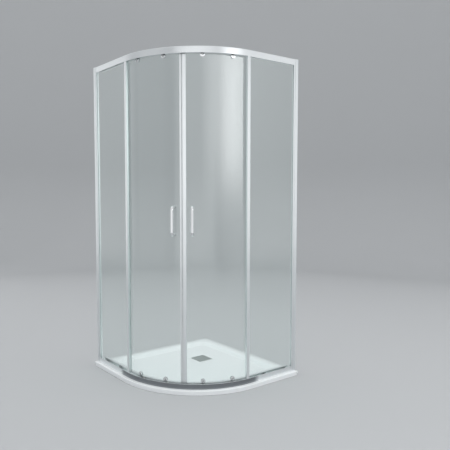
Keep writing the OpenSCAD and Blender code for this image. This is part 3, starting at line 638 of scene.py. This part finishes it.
class SHOWER_OT_doors(bpy.types.Operator):
    """Finishes the curved door glass, its rear clips, magnet profiles and magnet strips"""

    bl_idname = "shower.doors"
    bl_label = "Curved doors"

    def execute(self, context):
        dress(*each_side("door_glass", "rear_profile", "magnet_profile", "magnet_strip"))
        return {"FINISHED"}


class SHOWER_OT_handles(bpy.types.Operator):
    """Finishes the bow handles, their washers, round caps and screws"""

    bl_idname = "shower.handles"
    bl_label = "Handles"

    def execute(self, context):
        dress(*each_side("handle", "handle_washers", "handle_caps", "handle_screws"))
        return {"FINISHED"}


class SHOWER_OT_rollers(bpy.types.Operator):
    """Finishes the hangers, guides, round caps, gaskets, screws and wheels"""

    bl_idname = "shower.rollers"
    bl_label = "Rollers"

    def execute(self, context):
        dress(*each_side("top_hangers", "bottom_guides"))
        dress(*each_side("roller_caps", "roller_gaskets", "roller_screws"))
        dress(*(f"{wheel}_{end}" for wheel in each_side("top_wheel", "bottom_wheel") for end in ENDS))
        return {"FINISHED"}


# Studio

# How far the floor lies below the tray, so that the two never share a surface
FLOOR_CLEARANCE = 0.0008

# Radii of the flat floor's rings, its steps round and up to the wall, and the angle that its mesh smooths
FLOOR_RINGS = (0.02, 0.5, 1.0, 2.0, 3.0)
ROUND_STEPS = 128
SWEEP_STEPS = 16
SWEEP_SMOOTH = 80.0

# Shares of a lamp's width and height over which its light fades: from its clockwise edge, its
# anticlockwise edge, its lower edge and its upper edge
PANEL_FADE = (0.18, 0.18, 0.13, 0.13)
REAR_FADE = (0.18, 0.18, 0.6, 0.13)
KEY_FADE = (0.4, 0.4, 0.3, 0.3)
GLASS_FADE = (0.5, 0.08, 0.5, 0.1)
OVERHEAD_FADE = (0.3, 0.3, 0.3, 0.3)

# Soft panels: name, azimuth in degrees, share of the panels' radiance, and fade
PANELS = (
    ("soft_panel_1", 205.0, 1.0, PANEL_FADE),
    ("soft_panel_2", 264.0, 0.6, PANEL_FADE),
    ("soft_panel_3", 323.0, 1.6, PANEL_FADE),
    ("soft_panel_4", 22.0, 0.8, PANEL_FADE),
    ("soft_panel_5", 62.0, 0.8, PANEL_FADE),
    ("rear_panel_1", 110.0, 0.5, REAR_FADE),
    ("rear_panel_2", 160.0, 0.5, REAR_FADE),
)
PANEL_SIZE = (4.6, 3.2)
PANEL_DISTANCE = 4.1
PANEL_HEIGHT = 1.6
PANEL_AIM = (0.0, 0.0, 1.2)

# The single lamps: width and height, the place that each shines to, and where it stands. A stand is an
# azimuth in degrees, a distance and a height.
KEY_SIZE = (2.4, 2.0)
KEY_AIM = (0.0, 0.0, 1.2)
KEY_STAND = (10.0, 3.4, 1.9)
GLASS_SIZE = (4.7, 2.6)
GLASS_AIM = (0.0, 0.0, 1.8)
GLASS_STAND = (2.0, 3.4, 1.8)
OVERHEAD_SIZE = (3.2, 3.2)
OVERHEAD_AIM = (0.0, 0.0, 0.0)
OVERHEAD_PLACE = (0.3, -0.3, 4.4)

# Colours of the light, and the width of the camera's sensor in mm
SKY_COLOUR = (0.97, 0.985, 1.0, 1.0)
LAMP_COLOUR = (1.0, 1.0, 1.0, 1.0)
SENSOR_WIDTH = 36.0


def backdrop():
    """A floor that sweeps up all round into a pale wall."""
    s = studio()
    profile = [(r, 0.0) for r in (*FLOOR_RINGS, s.floor_radius)]
    for i in range(1, SWEEP_STEPS + 1):
        turn = math.radians(90.0 * i / SWEEP_STEPS)
        profile.append((s.floor_radius + s.sweep * math.sin(turn), s.sweep * (1.0 - math.cos(turn))))
    profile.append((s.floor_radius + s.sweep, s.wall_height))
    turns = [2 * math.pi * i / ROUND_STEPS for i in range(ROUND_STEPS)]
    rings = []
    for r, z in profile:
        rings.append([(r * math.cos(t), r * math.sin(t), z - FLOOR_CLEARANCE) for t in turns])
    sweep = loft("studio_sweep", rings, sharp=SWEEP_SMOOTH)
    paper = plastic("studio_paper", colours().floor, 40.0, 0.75, 0.05, tone=0.01, bump=0.02)
    sweep.data.materials.append(paper)


def soft_light(name, place, target, size, radiance, fade):
    """A large area lamp that shines from its place to its target and fades towards its edges. Neither the
    camera nor what is seen through the glass shows it."""
    lamp = bpy.data.lights.new(name, "AREA")
    lamp.shape = "RECTANGLE"
    lamp.size, lamp.size_y = size
    area = size[0] * size[1]
    lamp.energy = radiance * area * math.pi
    lamp.use_nodes = True
    tree = lamp.node_tree
    tree.nodes.clear()
    across = apart(tree, put(tree, "ShaderNodeNewGeometry").outputs["Parametric"])
    glow = 1.0
    for axis, edge, inward, share in zip("XXYY", (0.0, 1.0, 0.0, 1.0), (1.0, -1.0, 1.0, -1.0), fade):
        limits = (edge, edge + inward * share)
        step = remap(tree, across[axis], *limits, interpolation_type="SMOOTHSTEP")
        glow = maths(tree, "MULTIPLY", step, glow)
    emission = put(tree, "ShaderNodeEmission", {"Color": LAMP_COLOUR, "Strength": glow})
    put(tree, "ShaderNodeOutputLight", {0: emission.outputs[0]})
    made = bpy.data.objects.new(name, lamp)
    bpy.context.scene.collection.objects.link(made)
    aim = Vector(target) - Vector(place)
    made.matrix_world = Matrix.Translation(place) @ aim.to_track_quat("-Z", "Y").to_matrix().to_4x4()
    made.visible_camera = False
    made.visible_transmission = False
    return made


def at_azimuth(degrees, distance, height):
    """A place round the enclosure, with azimuth 0 along +X and 90 along +Y."""
    turn = math.radians(degrees)
    return (distance * math.cos(turn), distance * math.sin(turn), height)


def lamps():
    """Panels that the metal mirrors, a light from the right, one that only the door glass mirrors, and
    one from above that the metal doesn't mirror."""
    s = studio()
    for name, azimuth, share, fade in PANELS:
        place = at_azimuth(azimuth, PANEL_DISTANCE, PANEL_HEIGHT)
        soft_light(name, place, PANEL_AIM, PANEL_SIZE, s.panels * share, fade)
    soft_light("key_softbox", at_azimuth(*KEY_STAND), KEY_AIM, KEY_SIZE, s.key, KEY_FADE)
    beside = at_azimuth(*GLASS_STAND)
    for_glass = soft_light("glass_softbox", beside, GLASS_AIM, GLASS_SIZE, s.glass_light, GLASS_FADE)
    door_glass = bpy.data.collections.new("door_glass")
    for name in each_side("door_glass"):
        door_glass.objects.link(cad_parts[name])
    for_glass.light_linking.receiver_collection = door_glass
    above = soft_light(
        "overhead_softbox", OVERHEAD_PLACE, OVERHEAD_AIM, OVERHEAD_SIZE, s.overhead, OVERHEAD_FADE
    )
    above.visible_glossy = False


def sky_light():
    """Even soft light from all round."""
    world = bpy.data.worlds.new("soft_sky")
    world.use_nodes = True
    tree = world.node_tree
    tree.nodes.clear()
    sky = put(tree, "ShaderNodeBackground", {"Color": SKY_COLOUR, "Strength": studio().sky})
    put(tree, "ShaderNodeOutputWorld", {0: sky.outputs[0]})
    return world


def photo_camera():
    """A camera at the photograph's angle."""
    s = studio()
    lens = bpy.data.cameras.new("camera")
    lens.lens = s.lens
    lens.sensor_width = SENSOR_WIDTH
    lens.shift_x = s.shift
    camera = bpy.data.objects.new("camera", lens)
    bpy.context.scene.collection.objects.link(camera)
    yaw, pitch, roll = s.camera_turn
    forward = Vector((math.cos(pitch) * math.cos(yaw), math.cos(pitch) * math.sin(yaw), math.sin(pitch)))
    level = forward.cross(Vector((0.0, 0.0, 1.0))).normalized()
    lift = level.cross(forward)
    across = level * math.cos(roll) + lift * math.sin(roll)
    up = lift * math.cos(roll) - level * math.sin(roll)
    turn = Matrix((across, up, -forward)).transposed().to_4x4()
    camera.matrix_world = Matrix.Translation(s.camera_place) @ turn
    return camera


class SHOWER_OT_studio(bpy.types.Operator):
    """Makes the pale floor and backdrop, the soft lamps, the sky light and the camera"""

    bl_idname = "shower.studio"
    bl_label = "Studio"

    def execute(self, context):
        backdrop()
        context.scene.world = sky_light()
        lamps()
        context.scene.camera = photo_camera()
        context.scene.view_settings.view_transform = "Standard"
        return {"FINISHED"}


class SHOWER_PT_panel(bpy.types.Panel):
    """Lists the pieces of the shower enclosure"""

    bl_label = "Corner shower"
    bl_idname = "SHOWER_PT_panel"
    bl_space_type = "VIEW_3D"
    bl_region_type = "UI"
    bl_category = "Shower"

    def draw(self, context):
        for step in STEPS:
            self.layout.operator(step.bl_idname)
        for group in (sizes(), colours(), studio()):
            box = self.layout.box()
            for name in group.__annotations__:
                box.prop(group, name)


STEPS = (
    SHOWER_OT_tray,
    SHOWER_OT_waste,
    SHOWER_OT_rails,
    SHOWER_OT_wall_profiles,
    SHOWER_OT_fixed_panels,
    SHOWER_OT_doors,
    SHOWER_OT_handles,
    SHOWER_OT_rollers,
    SHOWER_OT_studio,
)
CLASSES = (ShowerTraySizes, ShowerColours, ShowerStudio, *STEPS, SHOWER_PT_panel)


def register():
    for each in CLASSES:
        bpy.utils.register_class(each)
    bpy.types.Scene.shower_tray_sizes = PointerProperty(type=ShowerTraySizes)
    bpy.types.Scene.shower_colours = PointerProperty(type=ShowerColours)
    bpy.types.Scene.shower_studio = PointerProperty(type=ShowerStudio)


def unregister():
    del bpy.types.Scene.shower_studio
    del bpy.types.Scene.shower_colours
    del bpy.types.Scene.shower_tray_sizes
    for each in reversed(CLASSES):
        bpy.utils.unregister_class(each)


def main():
    register()
    for step in STEPS:
        group, name = step.bl_idname.split(".")
        getattr(getattr(bpy.ops, group), name)()


if __name__ == "__main__":
    main()
